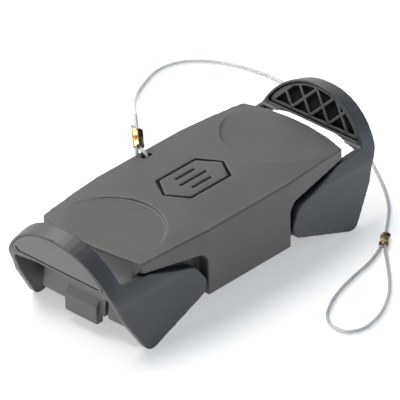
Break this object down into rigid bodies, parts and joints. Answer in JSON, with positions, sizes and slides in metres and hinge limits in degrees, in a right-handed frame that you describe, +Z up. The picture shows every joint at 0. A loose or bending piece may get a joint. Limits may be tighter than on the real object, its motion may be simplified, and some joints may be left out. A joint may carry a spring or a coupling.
{
  "type": "connector protective cover",
  "caption": "Moulded cover with a locking lever at each end, a finger grip on each lever and a corded lanyard, for closing the open mating face of a rectangular industrial connector.",
  "frame": {"origin": "middle of the cover's footprint, without the lanyard, at the height of the lever corners it stands on", "axes": "+X along the cover from one lever to the other, +Z up out of the cover's top, +Y towards the side the lanyard hangs from"},
  "size_m": [0.191, 0.1849, 0.0456],
  "materials": {
    "cover_plastic": "fine moulded texture, warm mid grey",
    "lever_plastic": "fine moulded texture, cool dark grey",
    "grip_plastic": "fine moulded texture, mid grey",
    "seal_rubber": "smooth black rubber",
    "pin_steel": "turned",
    "cord_sheath": "clear sheath over fine steel wire",
    "ferrule_brass": "crimped, slightly tarnished"
  },
  "bodies": {
    "cover": {"cover_shell": "cover_plastic", "rim_seal": "seal_rubber", "pivot_pin_left_near": "pin_steel", "pivot_pin_left_far": "pin_steel", "pivot_pin_right_near": "pin_steel", "pivot_pin_right_far": "pin_steel", "anchor_loop": "cord_sheath", "anchor_ferrule": "ferrule_brass", "lanyard_cord": "cord_sheath", "end_ferrule": "ferrule_brass", "end_loop": "cord_sheath"},
    "left_lever": {"lever_left": "lever_plastic", "grip_left": "grip_plastic"},
    "right_lever": {"lever_right": "lever_plastic", "grip_right": "grip_plastic"}
  },
  "joints": [
    {"name": "left_lever_hinge", "type": "hinge", "parent": "cover", "child": "left_lever", "pos_m": [-0.033, 0, 0.01575], "axis": [0, -1, 0], "range_deg": [-2, 36]},
    {"name": "right_lever_hinge", "type": "hinge", "parent": "cover", "child": "right_lever", "pos_m": [0.033, 0, 0.01575], "axis": [0, 1, 0], "range_deg": [-2, 36]}
  ]
}
